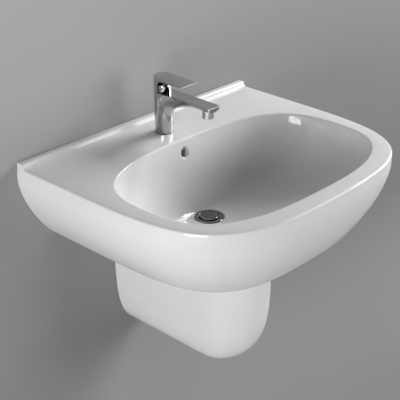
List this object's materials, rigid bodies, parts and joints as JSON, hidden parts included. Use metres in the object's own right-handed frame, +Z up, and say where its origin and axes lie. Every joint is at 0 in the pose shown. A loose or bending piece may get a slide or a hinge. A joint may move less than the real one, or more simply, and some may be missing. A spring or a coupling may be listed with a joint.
{
  "type": "pedestal sink",
  "caption": "Wall-hung washbasin on a semi-pedestal, with an oval bowl, a rear deck and upstand, a lever mixer tap, a click-clack waste and a bottle trap.",
  "frame": {"origin": "middle of the line between the two wall studs of the basin, on the wall plane", "axes": "+X to the right along the wall as seen from the front, +Y into the wall along the studs, +Z up; the front of the bowl faces -Y"},
  "size_m": [0.654, 0.595, 0.6055],
  "materials": {
    "china": "glossy white glaze",
    "valve_ceramic": "lapped",
    "chrome": "polished",
    "steel": "zinc-plated, satin",
    "brass": "machined",
    "rubber": "matt",
    "nylon": "moulded",
    "trap_plastic": "moulded, semi-gloss"
  },
  "bodies": {
    "fixed": {"basin": "china", "semi_pedestal": "china", "tap_body": "chrome", "tap_base_gasket": "rubber", "cartridge_housing": "nylon", "fixed_disc": "valve_ceramic", "cartridge_nut": "brass", "dome_ring": "chrome", "aerator_housing": "chrome", "aerator_insert": "nylon", "aerator_seal": "rubber", "tap_stud": "steel", "rubber_horseshoe": "rubber", "metal_horseshoe": "steel", "tap_fixing_nut": "brass", "waste_body": "chrome", "waste_top_gasket": "rubber", "waste_lower_gasket": "rubber", "waste_washer": "nylon", "waste_backnut": "brass", "click_housing": "brass", "click_spring": "steel", "trap_inlet_nut": "trap_plastic", "trap_inlet_seal": "rubber", "trap_dip_tube": "trap_plastic", "trap_top_nut": "trap_plastic", "trap_top_seal": "rubber", "trap_body": "trap_plastic", "trap_bottle": "trap_plastic", "trap_bottle_seal": "rubber", "trap_outlet_nut": "trap_plastic", "trap_outlet_seal": "rubber", "outlet_pipe": "chrome", "wall_rosette": "chrome", "wall_studs": "steel", "stud_bushes": "nylon", "stud_washers": "steel", "stud_nuts": "steel", "pedestal_studs": "steel", "pedestal_washers": "nylon", "pedestal_nuts": "steel"},
    "mixer_carrier": {"cartridge_carrier": "nylon", "moving_disc": "valve_ceramic", "lever_pivot_pin": "steel"},
    "lever": {"lever_handle": "chrome", "cartridge_stem": "brass", "lever_set_screw": "steel", "index_plug": "chrome"},
    "plug": {"plug_cap": "chrome", "plug_seal": "rubber", "plug_stem": "brass"}
  },
  "joints": [
    {"name": "lever_swivel", "type": "hinge", "parent": "fixed", "child": "mixer_carrier", "pos_m": [0, -0.078, 0.165], "axis": [0, 0, 1], "range_deg": [-45, 45]},
    {"name": "lever_lift", "type": "hinge", "parent": "mixer_carrier", "child": "lever", "pos_m": [0, -0.078, 0.165], "axis": [-1, 0, 0], "range_deg": [0, 20]},
    {"name": "plug_press", "type": "slide", "parent": "fixed", "child": "plug", "axis": [0, 0, 1], "range_m": [-0.006, 0], "stiffness_N_per_m": 300, "springref_m": 0.01, "deforming": ["click_spring"]}
  ]
}
